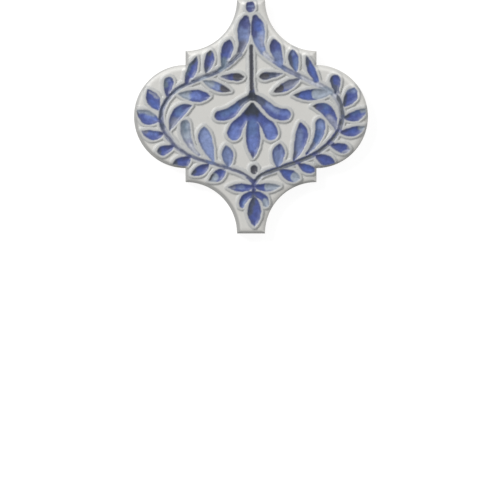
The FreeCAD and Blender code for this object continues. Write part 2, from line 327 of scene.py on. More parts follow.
groove_corners = corners[np.unique(triangles[level_triangles(groove_ceiling)])][:, :2].round(3)
groove_sides = np.unique(groove_corners[:, 1]).reshape(-1, 2)
grooves = []
for low_side, high_side in groove_sides:
    half_length = np.abs(groove_corners[groove_corners[:, 1] == low_side][:, 0]).max()
    grooves.append(((low_side + high_side) / 2, half_length, (high_side - low_side) / 2))


def groove_distance(spots):
    """How far each spot lies outside the nearest groove's edge, negative inside a groove."""
    found = np.full(len(spots), np.inf)
    for middle, half_length, half_width in grooves:
        over = np.abs(spots - (0, middle)) - (half_length, half_width)
        away = np.linalg.norm(np.maximum(over, 0), axis=1) + np.minimum(over.max(axis=1), 0)
        found = np.minimum(found, away)
    return found


back_points = [outline_ring(BACK_INSET)]
for middle, half_length, half_width in grooves:
    for grow in GROOVE_ROWS:
        length = half_length + grow
        width = half_width + grow
        count = round(2 * length / GROOVE_STEP)
        edge = run_points((-length, -width), (length, -width), count)
        end = run_points((length, -width), (length, width), GROOVE_END_POINTS)
        back_points.append(np.concatenate([edge, end, -edge, -end]) + (0, middle))
coarse = lattice[::BACK_THINNING]
coarse = coarse[groove_distance(coarse) > GROOVE_ROWS[-1] + BACK_LATTICE / 4]
coarse_cells = (coarse / BACK_LATTICE).round().astype(int)
back_points.append(coarse[np.sort(np.unique(coarse_cells, axis=0, return_index=True)[1])])
back_plan, back_triangles, back_rim = skin(np.concatenate(back_points))
groove_share = 1 - smooth(*GROOVE_LEAN, groove_distance(back_plan))
back_level = back + (groove_ceiling - back) * groove_share
print(len(grooves), "grooves,", len(back_triangles), "back triangles")

# %% [markdown]
# ## The side wall and the glaze line
#
# The dip stops short of the foot, so a band of bare clay shows along the bottom of the side, and the
# glaze ends there in an uneven bead that stands a tenth of a millimetre proud. The wall is rings of the
# outline, one below the other. The ring of the glaze line wanders up and down, which is what makes the
# dip look like a dip.

# %% Build the side wall
GLAZE_LINE = 1.7            # height of the glaze line, in millimetres
LINE_WANDER = 0.45          # how far it wanders up and down
BEAD = 0.12                 # how far the glaze stands out from the clay
GLAZED_RINGS = [7.0, 5.5, 4.0, 2.9]     # heights of the rings above it
WANDER_LENGTH = 9.0

wander = LINE_WANDER * uneven(outline, WANDER_LENGTH, 2)
wall_rings = [(outline_ring(0), np.full(ring_count, level)) for level in GLAZED_RINGS]
wall_rings.append((outline_ring(0), GLAZE_LINE + wander))
clay_start = len(wall_rings)
wall_rings.append((outline_ring(BEAD), GLAZE_LINE + wander - BEAD))
wall_rings.append((outline_ring(BEAD), np.full(ring_count, BACK_INSET)))
wall_rings.append((outline_ring((BEAD + BACK_INSET) / 2), np.full(ring_count, BACK_INSET / 4)))
print("rings in the side wall:", len(wall_rings))

# %% [markdown]
# ## Sewing
#
# A row of four-sided faces joins each ring to the next, from the rim of the face down to the rim of the
# back. The glazed faces come first in the list, so only their number has to be kept.

# %% Sew face, wall and back together
face_points_3d = np.column_stack([face_plan, face_level])
wall_points_3d = [np.column_stack([ring, level]) for ring, level in wall_rings]
back_points_3d = np.column_stack([back_plan, back_level])
points_3d = np.concatenate([face_points_3d, *wall_points_3d, back_points_3d])
back_start = len(points_3d) - len(back_points_3d)
rings = [face_rim]
for i in range(len(wall_rings)):
    first = len(face_points_3d) + i * ring_count
    rings.append(list(range(first, first + ring_count)))
rings.append([back_start + i for i in back_rim])

faces = [tuple(face) for face in face_triangles]
glazed_count = len(faces)
for step, (upper, lower) in enumerate(zip(rings, rings[1:])):
    for i in range(ring_count):
        j = (i + 1) % ring_count
        faces.append((lower[i], lower[j], upper[j], upper[i]))
    if step < clay_start:
        glazed_count = len(faces)
faces += [tuple(back_start + i for i in reversed(face)) for face in back_triangles]
print("points", len(points_3d), "faces", len(faces), "of them glazed", glazed_count)

# %% [markdown]
# ## The piece
#
# The points and faces become one closed mesh, which takes the pressed tile's place. Smooth shading is
# broken only where the surface really turns a corner, as at the shoulders and the neck ends.

# %% Make the tile's mesh
CORNER = math.radians(48)

tile_mesh = bpy.data.meshes.new("glazed_tile")
tile_mesh.from_pydata((points_3d * MM).tolist(), [], faces)
tile_mesh.validate()
tile_mesh.shade_smooth()
tile_mesh.set_sharp_from_angle(angle=CORNER)
glazed_tile = bpy.data.objects.new("glazed_tile", tile_mesh)
bpy.context.scene.collection.objects.link(glazed_tile)
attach(glazed_tile, "root")
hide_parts("arabesque_tile")
tile_mesh.calc_loop_triangles()
print("triangles in the tile:", len(tile_mesh.loop_triangles))

# %% [markdown]
# ## The glazer's palette
#
# Cobalt glaze runs from almost black where it is thick to a pale lavender where it is thin, and this tile
# uses more than a dozen shades of it. They are written as screen colours, because those are easy to pick,
# and turned into the linear light that Blender's shaders work in.

# %% Mix the glazes
SHADES = {
    "cobalt": (68, 81, 140),
    "ultramarine": (74, 93, 157),
    "indigo": (68, 75, 122),
    "steel": (86, 107, 154),
    "cornflower": (100, 117, 176),
    "periwinkle": (108, 122, 162),
    "sky": (124, 139, 180),
    "lavender": (140, 145, 168),
    "mist": (188, 191, 200),
    "pale": (148, 158, 172),
    "teal": (104, 119, 136),
    "dove": (114, 119, 140),
    "stem": (98, 102, 124),
    "pewter": (88, 92, 100),
    "slate": (72, 80, 102),
    "charcoal": (66, 66, 74),
    "ink": (36, 43, 56),
}


def linear(shade):
    value = np.array(shade) / 255
    return np.where(value <= 0.04045, value / 12.92, ((value + 0.055) / 1.055) ** 2.4)


GLAZE = {name: linear(shade) for name, shade in SHADES.items()}
print("glazes:", ", ".join(GLAZE))

# %% [markdown]
# ## Brush by brush
#
# Every basin first gets cobalt. Then the painter goes round with a loaded brush: dark along the stems and
# in some tips, thin and pale in some leaves, with a hard edge where one load stops and the next begins. A
# stroke here is a glaze, how far the brush reaches to each side, how softly it ends, and the way it goes,
# in millimetres from the tile's middle. Later strokes lie over earlier ones, as they do on the tile. The
# dark lines and the feet of the leaves have names, because they are needed again when the glazes melt.

# %% Dark lines and leaf feet
LEFT_LINE = [(-6.6, 40.0), (-12.8, 34.1), (-21.0, 28.4), (-32.6, 23.9), (-43.7, 19.4), (-51.9, 13.4),
             (-56.9, 6.1), (-58.5, -1.1), (-56.4, -8.0)]
LOWER_LINE = [(-56.2, -8.8), (-49.0, -18.8), (-39.2, -25.6), (-27.1, -29.7), (-13.1, -33.8), (-3.8, -37.0),
              (2.1, -42.1)]
RIGHT_LINE = [(55.8, 12.2), (57.9, 7.6), (59.1, -0.1), (56.9, -9.1), (50.1, -17.8), (40.4, -24.9),
              (28.3, -30.0), (15.2, -34.5), (6.5, -37.6), (1.7, -42.4)]
STALK_LINE = [(0.1, 45.0), (0.4, 18.0)]
KNOT_LINE = [(1.8, -41.4), (1.8, -47.5)]
KNOT_BAR = [(-1.3, -45.0), (5.0, -44.8)]
LEAF_FEET = [
    [(-41.6, 22.0), (-40.6, 25.0)], [(-54.0, 16.5), (-53.4, 14.4)], [(-61.5, -2.2), (-58.8, -3.2)],
    [(-60.0, -10.2), (-56.8, -11.0)], [(-53.5, -19.8), (-50.6, -18.8)], [(-43.0, -27.0), (-39.4, -25.8)],
    [(-30.0, -33.0), (-27.4, -30.8)], [(62.6, -0.2), (59.2, -0.6)], [(60.0, -9.6), (57.0, -9.4)],
    [(52.8, -17.4), (50.0, -17.0)], [(43.4, -25.0), (40.2, -24.2)], [(32.0, -31.2), (29.6, -29.8)],
    [(54.2, 18.6), (54.6, 15.4)], [(55.3, 18.8), (55.7, 15.4)],
]
print("leaf feet:", len(LEAF_FEET))

# %% [markdown]
# ## Stems
#
# The two top leaves run out into the branches. A branch gets a pale wash all along and then one pull of a
# thin dark line, which wanders a little to one side of the wash. Each outer leaf hangs on it by a dark
# foot.

# %% Brush the stems
STEM_STROKES = [
    # Top pair of leaves
    ("periwinkle", 5.0, 2.0, [(-4.7, 55.0), (-5.2, 48.0), (-7.0, 42.0)]),
    ("stem", 3.0, 1.8, [(-5.4, 46.0), (-7.6, 41.5)]),
    ("indigo", 4.0, 2.0, [(-3.2, 64.0), (-3.6, 60.0)]),
    ("sky", 5.0, 2.0, [(6.0, 55.0), (5.5, 48.0), (8.0, 41.0)]),
    ("indigo", 2.6, 1.8, [(2.4, 64.5), (2.6, 59.0), (1.6, 53.0)]),
    ("ultramarine", 2.4, 1.6, [(4.4, 59.0), (4.8, 56.5)]),
    ("lavender", 1.2, 1.8, [(6.6, 50.5), (7.4, 46.0)]),
    # Left branch
    ("mist", 1.9, 0.7, [(-9.0, 39.5), (-13.5, 35.0), (-21.5, 29.3), (-33.0, 24.6), (-44.0, 19.7)]),
    ("lavender", 1.9, 0.7, [(-44.0, 19.7), (-52.0, 13.5), (-56.6, 6.0), (-58.0, -1.0), (-55.2, -9.5)]),
    ("mist", 1.9, 0.7, [(-55.2, -9.5), (-48.5, -18.7), (-39.0, -25.2), (-27.0, -29.3), (-13.0, -33.6)]),
    ("mist", 1.9, 0.7, [(-13.0, -33.6), (-4.0, -37.3)]),
    ("slate", 1.1, 0.5, LEFT_LINE),
    ("stem", 0.9, 0.5, LOWER_LINE),
    # Right branch
    ("mist", 2.2, 1.0, [(9.5, 39.6), (15.0, 35.2)]),
    ("lavender", 2.0, 1.0, [(16.0, 34.4), (22.0, 30.5), (33.5, 24.8)]),
    ("mist", 2.0, 0.8, [(33.5, 24.8), (44.5, 19.6), (52.5, 14.8), (56.8, 7.5), (58.0, 0.0)]),
    ("pewter", 1.2, 0.5, RIGHT_LINE),
    # Feet of the outer leaves
    *[("indigo", 1.4, 0.8, foot) for foot in LEAF_FEET],
]
print("strokes on the stems:", len(STEM_STROKES))

# %% [markdown]
# ## Outer leaves
#
# The leaves on the outside of the wreath are the darkest. A touch of slate in the tip or along one side
# makes a leaf look folded, and a touch of thin glaze makes it look lit.

# %% Brush the outer leaves
OUTER_STROKES = [
    # On the left, from the top down
    ("teal", 2.6, 1.6, [(-18.5, 31.0), (-17.6, 35.2)]),
    ("indigo", 2.2, 1.6, [(-16.5, 44.0), (-14.0, 48.5)]),
    ("slate", 1.6, 1.0, [(-29.0, 28.5), (-28.4, 31.0)]),
    ("indigo", 1.6, 1.0, [(-29.0, 33.0), (-27.6, 38.5)]),
    ("pewter", 1.2, 1.0, [(-26.8, 40.0), (-26.2, 42.0)]),
    ("teal", 1.2, 1.0, [(-41.8, 27.0), (-39.8, 32.0), (-36.3, 37.0)]),
    ("slate", 1.2, 1.0, [(-36.8, 34.6), (-35.4, 37.6)]),
    ("teal", 1.8, 0.9, [(-55.2, 20.0), (-55.0, 23.0)]),
    ("periwinkle", 1.2, 1.0, [(-53.6, 23.6), (-52.2, 23.8)]),
    ("ultramarine", 2.0, 1.2, [(-60.0, 6.5), (-64.5, 9.0)]),
    ("lavender", 0.9, 0.6, [(-65.0, 15.6), (-59.6, 12.0)]),
    ("cornflower", 1.8, 1.4, [(-61.5, -1.2), (-67.0, 0.2)]),
    ("pale", 1.9, 1.2, [(-62.0, 1.8), (-68.0, 3.6), (-72.0, 3.8)]),
    ("charcoal", 0.7, 0.6, [(-73.4, 3.0), (-73.0, 1.4)]),
    ("cornflower", 1.5, 1.4, [(-60.8, -10.9), (-65.5, -10.6)]),
    ("lavender", 1.2, 1.0, [(-67.4, -9.8), (-69.6, -9.3)]),
    ("slate", 1.9, 1.0, [(-60.0, -21.5), (-59.5, -23.0)]),
    ("slate", 1.8, 1.0, [(-49.5, -29.3), (-48.5, -30.3)]),
    ("slate", 1.8, 0.9, [(-38.0, -36.6), (-36.8, -35.6)]),
    ("pale", 3.2, 0.7, [(-27.0, -41.0), (-24.0, -39.2)]),
    ("charcoal", 1.0, 0.7, [(-26.8, -40.5), (-25.0, -37.8)]),
    # On the right
    ("periwinkle", 3.2, 1.8, [(19.4, 32.0), (16.8, 39.0)]),
    ("indigo", 2.6, 1.6, [(14.5, 49.0), (13.5, 44.0)]),
    ("slate", 1.6, 1.0, [(25.2, 39.0), (24.8, 37.0), (26.5, 32.0)]),
    ("periwinkle", 1.2, 1.0, [(27.0, 40.0), (26.4, 42.0)]),
    ("steel", 2.0, 1.0, [(29.2, 36.0), (29.0, 31.0)]),
    ("ultramarine", 2.2, 1.0, [(39.5, 32.0), (42.0, 24.0)]),
    ("slate", 1.3, 0.8, [(35.6, 38.0), (36.2, 33.0)]),
    ("slate", 1.2, 0.8, [(51.2, 24.5), (52.5, 18.0)]),
    ("slate", 1.6, 1.0, [(54.2, 18.8), (54.6, 15.8)]),
    ("slate", 1.2, 0.8, [(59.8, 8.0), (60.2, 13.5)]),
    ("sky", 2.6, 1.2, [(61.8, 17.6), (66.0, 18.0)]),
    ("slate", 1.3, 0.7, [(59.2, -0.6), (61.8, 0.3)]),
    ("steel", 1.4, 1.2, [(65.5, 2.4), (68.5, 3.4)]),
    ("pale", 2.0, 1.0, [(71.5, 4.3), (74.0, 5.0)]),
    ("ultramarine", 1.4, 1.2, [(63.5, -9.2), (66.5, -8.8)]),
    ("pale", 1.9, 0.9, [(70.5, -7.5), (72.6, -6.6)]),
    ("lavender", 1.0, 0.6, [(62.3, -20.0), (62.6, -22.0), (59.0, -23.2)]),
    ("ultramarine", 1.8, 1.4, [(34.8, -32.4), (38.6, -33.6)]),
    ("ultramarine", 1.6, 1.4, [(22.0, -36.2), (25.0, -37.2)]),
    ("pale", 3.2, 0.6, [(28.6, -39.0), (31.0, -39.8)]),
]
print("strokes on the outer leaves:", len(OUTER_STROKES))

# %% [markdown]
# ## Inner leaves
#
# On the inside the painter uses thin, pale loads. Here one load often stops halfway along a leaf, and the
# next starts hard against it.

# %% Brush the inner leaves
INNER_STROKES = [
    # On the left, from the top down
    ("dove", 2.0, 1.0, [(-18.5, 26.4), (-15.6, 26.0)]),
    ("indigo", 2.0, 1.0, [(-13.2, 25.9), (-11.6, 25.8)]),
    ("charcoal", 2.6, 0.8, [(-9.0, 25.4), (-5.0, 25.2)]),
    ("sky", 2.6, 1.0, [(-24.0, 20.2), (-21.0, 19.2)]),
    ("pale", 3.0, 1.2, [(-30.0, 22.4), (-26.4, 21.0)]),
    ("charcoal", 2.2, 0.8, [(-18.0, 17.8), (-14.0, 16.3)]),
    ("pale", 3.6, 0.6, [(-45.0, 14.4), (-41.0, 14.0)]),
    ("cornflower", 2.6, 1.4, [(-36.6, 13.7), (-34.6, 13.5)]),
    ("dove", 2.6, 1.8, [(-51.0, -6.0), (-49.0, -3.0)]),
    ("steel", 2.8, 1.4, [(-46.0, 2.5), (-43.0, 5.5), (-40.0, 6.8)]),
    ("indigo", 1.6, 1.6, [(-43.0, 5.4), (-40.0, 6.8)]),
    ("lavender", 3.0, 1.2, [(-42.2, -8.0), (-40.0, -16.0), (-35.0, -23.0)]),
    ("mist", 1.4, 1.2, [(-38.5, -18.5), (-35.0, -23.0)]),
    ("pale", 3.4, 1.6, [(-42.3, -5.0), (-41.6, -12.0)]),
    ("teal", 1.4, 1.8, [(-42.6, -5.0), (-42.2, -9.0)]),
    ("sky", 4.6, 1.2, [(-29.5, -9.0), (-28.0, -17.0), (-25.0, -26.0)]),
    ("periwinkle", 3.6, 1.0, [(-15.5, -21.0), (-15.0, -29.0)]),
    # On the right
    ("dove", 1.8, 0.8, [(16.5, 26.8), (19.0, 27.3)]),
    ("slate", 2.0, 0.8, [(11.0, 26.2), (14.0, 26.6)]),
    ("charcoal", 2.5, 0.8, [(6.0, 25.7), (9.0, 25.9)]),
    ("dove", 3.0, 1.0, [(29.5, 23.6), (23.5, 20.5)]),
    ("charcoal", 2.4, 0.6, [(15.0, 16.0), (18.8, 18.2)]),
    ("pale", 4.0, 0.6, [(42.8, 14.6), (48.6, 15.2)]),
    ("ultramarine", 3.2, 0.6, [(34.6, 14.0), (35.6, 14.0)]),
    ("slate", 1.6, 0.8, [(27.5, 13.7), (29.5, 14.0)]),
    ("steel", 3.0, 1.4, [(42.0, 6.5), (47.0, 6.5)]),
    ("indigo", 1.8, 1.4, [(41.0, 6.3), (44.5, 5.8)]),
    ("ultramarine", 1.4, 1.4, [(47.5, 3.5), (49.5, 1.5)]),
    ("lavender", 2.2, 1.4, [(50.0, -1.0), (54.5, -6.4)]),
    ("charcoal", 1.2, 0.7, [(39.5, 6.7), (40.5, 6.0)]),
    ("steel", 3.2, 1.0, [(44.0, -5.0), (42.5, -13.0), (38.5, -20.0)]),
    ("sky", 1.4, 2.0, [(44.6, -4.0), (44.0, -7.5)]),
    ("dove", 1.6, 1.4, [(39.8, -17.8), (37.5, -21.0)]),
    ("periwinkle", 2.4, 1.4, [(31.0, -10.0), (30.0, -22.0)]),
    ("stem", 1.2, 1.4, [(28.6, -22.5), (27.4, -26.0)]),
    ("periwinkle", 3.2, 1.0, [(18.0, -20.0), (17.0, -29.0)]),
    ("indigo", 1.0, 1.4, [(18.2, -18.5), (18.0, -20.5)]),
]
print("strokes on the inner leaves:", len(INNER_STROKES))

# %% [markdown]
# ## Palmettes and dots
#
# Both palmettes are darkest in the heart, where the petals meet and the brush is pressed down. Towards
# the tips they turn to clear blue.

# %% Brush the palmettes
PALMETTE_STROKES = [
    # Large palmette and its stalk
    ("charcoal", 1.9, 0.6, STALK_LINE),
    ("steel", 2.2, 1.4, [(-17.5, 1.8), (-9.0, 6.4)]),
    ("slate", 1.4, 1.0, [(-24.4, 3.8), (-24.0, 0.8)]),
    ("sky", 1.8, 1.8, [(10.5, 7.6), (17.0, 3.4)]),
    ("cornflower", 1.8, 1.6, [(20.5, 2.2), (23.5, 2.4)]),
    ("slate", 2.6, 1.4, [(-6.0, 9.0), (0.6, 13.5), (7.0, 9.4)]),
    ("ink", 1.8, 2.4, [(-2.2, 1.6), (0.7, 2.6), (3.6, 1.6)]),
    ("ink", 3.0, 1.4, [(0.6, 13.0), (0.7, 5.0)]),
    ("ink", 1.7, 1.2, [(-2.2, 3.0), (0.7, 6.0), (3.8, 3.0)]),
    ("cornflower", 3.2, 1.8, [(-10.4, -8.0), (-11.4, -13.0)]),
    ("cornflower", 3.2, 1.8, [(11.2, -7.6), (12.8, -13.0)]),
    ("steel", 3.0, 1.8, [(0.8, -5.0), (0.8, -11.0)]),
    ("cornflower", 2.8, 1.8, [(0.9, -15.0), (1.1, -21.0)]),
    ("indigo", 1.8, 1.2, [(1.2, -24.0), (1.0, -26.0)]),
    # Small palmette and the dots
    ("dove", 1.8, 1.0, [(-14.2, -45.0), (-11.6, -45.2)]),
    ("periwinkle", 1.4, 1.0, [(-8.0, -45.4), (-5.4, -45.3)]),
    ("indigo", 1.8, 0.8, KNOT_LINE),
    ("pale", 3.0, 0.6, [(11.6, -44.8), (18.0, -44.6)]),
    ("pale", 2.0, 0.8, [(9.2, -54.6), (9.4, -57.5)]),
    ("steel", 1.2, 0.8, [(-4.4, -54.2), (-4.6, -57.0)]),
    ("slate", 1.7, 1.2, [(1.8, -51.5), (0.6, -57.0), (-0.9, -62.0)]),
    ("indigo", 4.0, 1.0, [(-0.6, 72.0), (-0.6, 69.0)]),
    ("periwinkle", 0.6, 0.5, [(-2.4, 70.4), (1.4, 70.8)]),
    ("charcoal", 3.0, 0.5, [(1.9, -34.6), (1.9, -33.4)]),
]
print("strokes on the palmettes:", len(PALMETTE_STROKES))

# %% [markdown]
# ## Laying the strokes
#
# A stroke colours every spot that lies within its reach. Before the distance is measured, each spot is
# moved a little at random, so that a stroke ends in the wavering line of a melt and not of a ruler.

# %% Lay the strokes
STRAY = 0.6                 # how far a melted stroke strays from the brush's way, in millimetres
STRAY_LENGTH = 2.6


def path_distance(spots, path):
    """How far each spot lies from a way of straight runs."""
    found = np.full(len(spots), np.inf)
    for start, finish in zip(np.array(path), np.array(path[1:])):
        run = finish - start
        share = np.clip(((spots - start) @ run) / (run @ run), 0, 1)
        found = np.minimum(found, np.linalg.norm(spots - start - share[:, None] * run, axis=1))
    return found


strokes = STEM_STROKES + OUTER_STROKES + INNER_STROKES + PALMETTE_STROKES
strayed = face_plan + STRAY * np.stack([uneven(face_plan, STRAY_LENGTH, layer) for layer in (3, 4)], axis=1)
wash = np.tile(GLAZE["cobalt"], (len(face_plan), 1))
for glaze, reach, softness, path in strokes:
    cover = 1 - smooth(reach - softness, reach + softness, path_distance(strayed, path))
    wash += (GLAZE[glaze] - wash) * cover[:, None]
print(len(strokes), "brush strokes laid")

# %% [markdown]
# ## What the kiln does, and the painted light, noted on the mesh
#
# In the kiln the dark lines and the feet run over their walls, and the blue creeps half as far as the
# bowls do. The white coat is thin at the tile's edge, and that grey rim is made wider on the lower left as
# painted shade. Just inside the upper rim a whiter band is a painted highlight. Down the sides the coat
# gathers towards the glaze line. The material has to know all this, so every point of the mesh carries
# four notes: the colour of the wash, how far it is from the melt's edge, how well the white covers it with
# the painted rim shade added, both in millimetres, and how much of the painted highlight it has.

# %% Store the notes
NOTES = ("melt_distance", "white_coat_and_rim_shade", "painted_rim_highlight")
FAR = 10.0
RIM_SHADE_AWAY_FROM = np.array((0.87, 0.5))      # the way the rim faces where the painted rim shade is narrowest
RIM_SHADE_SHIFT = 1.5           # how much wider the painted rim shade is on the other side, in millimetres
BEAD_COAT = 2.0             # how well the white covers the side at the glaze line
HIGHLIGHT_FACING_WAY = np.array((0.39, 0.92))    # the way that the rim with the painted highlight faces
HIGHLIGHT_INSET = 2.5            # how far inside the edge the painted highlight lies, in millimetres
HIGHLIGHT_HALF = 1.7             # half its width
HIGHLIGHT_FACING = (0.4, 0.9)    # how squarely its rim faces that way, from no highlight to the whole of it
RUNS = [(0.9, LEFT_LINE), (1.0, RIGHT_LINE), (1.1, STALK_LINE), (1.3, KNOT_LINE), (1.2, KNOT_BAR)]
RUNS += [(0.7, foot) for foot in LEAF_FEET]

melted = (melt_line + ridge_line) / 2
for half_width, path in RUNS:
    melted = np.minimum(melted, path_distance(face_plan, path) - half_width)
facing = np.array([edge_curtain.find_nearest((x, y, 0))[1].xy for x, y in face_plan])
melt_note = np.full(len(points_3d), FAR)
melt_note[:len(face_plan)] = np.clip(melted, -FAR, FAR)
coat_and_shade_note = np.interp(points_3d[:, 2], (GLAZE_LINE, field - EDGE_DROP), (BEAD_COAT, 0))
# on the face the thin grey rim is widened on the lower left as painted shade
coat_and_shade_note[:len(face_plan)] = face_edge + RIM_SHADE_SHIFT * (facing @ RIM_SHADE_AWAY_FROM)
# how much of the painted highlight just inside the upper rim each point gets
rim_highlight_note = np.zeros(len(points_3d))
rim_highlight_note[:len(face_plan)] = smooth(*HIGHLIGHT_FACING, facing @ HIGHLIGHT_FACING_WAY)
rim_highlight_note[:len(face_plan)] *= 1 - smooth(0, HIGHLIGHT_HALF, np.abs(face_edge - HIGHLIGHT_INSET))
wash_note = np.ones((len(points_3d), 4))
wash_note[:len(face_plan), :3] = wash
for name, values in zip(NOTES, (melt_note, coat_and_shade_note, rim_highlight_note)):
    tile_mesh.attributes.new(name, "FLOAT", "POINT").data.foreach_set("value", values)
tile_mesh.attributes.new("wash", "FLOAT_COLOR", "POINT").data.foreach_set("color", wash_note.ravel())
print("notes stored for", len(points_3d), "points")

# %% [markdown]
# ## Three effects that both finishes share
#
# Glaze and bare clay come out of the same kiln, so both have a slow drift of tone, a few dark specks of
# iron and a fine unevenness of the skin. Each is a small node group, built once and given its own values
# in each material. A group hands out only a value; the shader stays in the material. First come the
# helpers that wire nodes.

# %% Helpers for nodes
def place(tree, kind, inputs=None, **settings):
    """Adds a node, sets it, and fills its inputs with plain values or with links from other nodes."""
    made = tree.nodes.new(kind)
    for name, value in settings.items():
        setattr(made, name, value)
    for socket, value in (inputs or {}).items():
        if isinstance(value, bpy.types.NodeSocket):
            tree.links.new(value, made.inputs[socket])
        else:
            made.inputs[socket].default_value = value
    return made


def new_group(name, values, result):
    """A node group with a vector input, the named number inputs and one number output."""
    group = bpy.data.node_groups.new(name, "ShaderNodeTree")
    group.interface.new_socket("Coordinates", in_out="INPUT", socket_type="NodeSocketVector")
    for value in values:
        group.interface.new_socket(value, in_out="INPUT", socket_type="NodeSocketFloat")
    group.interface.new_socket(result, in_out="OUTPUT", socket_type="NodeSocketFloat")
    return group, group.nodes.new("NodeGroupInput").outputs


def hand_out(group, socket):
    group.links.new(socket, group.nodes.new("NodeGroupOutput").inputs[0])


print("helpers for nodes are ready")

# %% [markdown]
# Drift is a cloud of noise, moved to either side of a middle value.

# %% Group for the drift
def make_drift():
    """A tone that drifts slowly either side of a middle."""
    group, given = new_group("kiln_drift", ["Scale", "Middle", "Depth"], "Tone")
    cloud = place(group, "ShaderNodeTexNoise", {"Vector": given["Coordinates"], "Scale": given["Scale"],
                                                "Detail": 4.0, "Roughness": 0.55})
    centred = place(group, "ShaderNodeMath", {0: cloud.outputs["Fac"], 1: 0.5}, operation="SUBTRACT")
    tone = place(group, "ShaderNodeMath", {0: centred.outputs[0], 1: given["Depth"], 2: given["Middle"]},
                 operation="MULTIPLY_ADD")
    hand_out(group, tone.outputs[0])
    return group


DRIFT = make_drift()
print("made", DRIFT.name)

# %% [markdown]
# Specks lie in a pattern of cells. Each cell draws a lot, and most stay empty.

# %% Group for the specks
def make_specks():
    """A mask of small scattered specks."""
    group, given = new_group("iron_specks", ["Scale", "Size", "Share"], "Mask")
    cell = place(group, "ShaderNodeTexVoronoi", {"Vector": given["Coordinates"], "Scale": given["Scale"]})
    lot = place(group, "ShaderNodeSeparateColor", {"Color": cell.outputs["Color"]})
    chosen = place(group, "ShaderNodeMath", {0: lot.outputs[0], 1: given["Share"]}, operation="LESS_THAN")
    spot = place(group, "ShaderNodeMapRange", {"Value": cell.outputs["Distance"], 1: given["Size"], 2: 0.0})
    mask = place(group, "ShaderNodeMath", {0: spot.outputs[0], 1: chosen.outputs[0]}, operation="MULTIPLY")
    hand_out(group, mask.outputs[0])
    return group


SPECKS = make_specks()
print("made", SPECKS.name)

# %% [markdown]
# The skin is two sizes of noise, the finer one laid over the broad one.

# %% Group for the skin
FINER = 6.0                 # how many times smaller the grit is


def make_skin():
    """Height of a fine unevenness."""
    group, given = new_group("fired_skin", ["Scale", "Grit"], "Height")
    broad = place(group, "ShaderNodeTexNoise", {"Vector": given["Coordinates"], "Scale": given["Scale"],
                                                "Detail": 2.0})
    finer = place(group, "ShaderNodeMath", {0: given["Scale"], 1: FINER}, operation="MULTIPLY")
    grit = place(group, "ShaderNodeTexNoise", {"Vector": given["Coordinates"], "Scale": finer.outputs[0],
                                               "Detail": 3.0})
    height = place(group, "ShaderNodeMath", {0: grit.outputs["Fac"], 1: given["Grit"],
                                             2: broad.outputs["Fac"]}, operation="MULTIPLY_ADD")
    hand_out(group, height.outputs[0])
    return group


SKIN = make_skin()
print("made", SKIN.name)

# %% [markdown]
# Every material is wired with the same few helpers.

# %% Helpers for materials
BUMP_HEIGHT = 0.0002        # in metres


def new_material(name):
    material = bpy.data.materials.new(name)
    material.use_nodes = True
    tree = material.node_tree
    tree.nodes.clear()
    return material, tree, place(tree, "ShaderNodeTexCoord").outputs["Object"]


def grouped(tree, group, inputs):
    return place(tree, "ShaderNodeGroup", inputs, node_tree=group).outputs[0]


def mixed(tree, factor, first, second, blend="MIX"):
    return place(tree, "ShaderNodeMix", {0: factor, 6: first, 7: second}, data_type="RGBA",
                 blend_type=blend).outputs[2]


def ranged(tree, value, start, finish, first=0.0, last=1.0):
    return place(tree, "ShaderNodeMapRange", {"Value": value, 1: start, 2: finish, 3: first, 4: last},
                 interpolation_type="SMOOTHSTEP").outputs[0]


def finish_material(tree, colour, roughness, height, bump, **constants):
    normal = place(tree, "ShaderNodeBump", {"Strength": bump, "Distance": BUMP_HEIGHT, "Height": height})
    shader = place(tree, "ShaderNodeBsdfPrincipled", {"Base Color": colour, "Roughness": roughness,
                                                      "Normal": normal.outputs[0], **constants})
    place(tree, "ShaderNodeOutputMaterial", {"Surface": shader.outputs[0]})


print("helpers for materials are ready")

# %% [markdown]
# ## Glaze
#
# White glaze covers everything. It thins where it runs off a ridge or over the tile's edge, and the grey
# body dulls it there; on the lower left that grey rim is widened as painted shade. A whiter band just
# inside the upper rim is a painted highlight. Inside the basins lies the painter's wash. It darkens a
# little at the foot of the wall, partly as pooled glaze and partly as painted shade, and fades above it,
# with a small wobble, since a melt never stops on a line.

# %% Make the glaze
WHITE_GLAZE = (*linear((204, 203, 199)), 1)
RIDGE_GLAZE = (*linear((184, 185, 184)), 1)
# grey of thin glaze over the edge, which also serves as painted shade on the lower left
EDGE_GLAZE_AND_SHADE = (*linear((158, 158, 156)), 1)
# colour of the painted highlight just inside the upper rim
PAINTED_RIM_HIGHLIGHT = (*linear((223, 222, 218)), 1)
# dark of pooled glaze, partly painted shade at the foot of each basin wall
POOLED_AND_SHADED_GLAZE = (*linear((58, 64, 78)), 1)
SPECK_BROWN = (*linear((120, 108, 96)), 1)
GREY_RIDGE = (2.1, 3.1)     # the ridge's greyer white ends between these distances from the melt's edge
THIN_AND_SHADED_RIM = 1.6              # the coat is whole from here, and the painted rim shade ends here
POOL_AND_SHADE = (-1.7, -0.6)         # the wash darkens between these distances, as pooled glaze and painted shade
POOL_AND_SHADE_DEPTH = 0.25
BLUE_END = (-0.4, 0.85)     # and turns to white between these, all in millimetres
GLAZE_ROUGHNESS = (0.38, 0.5)


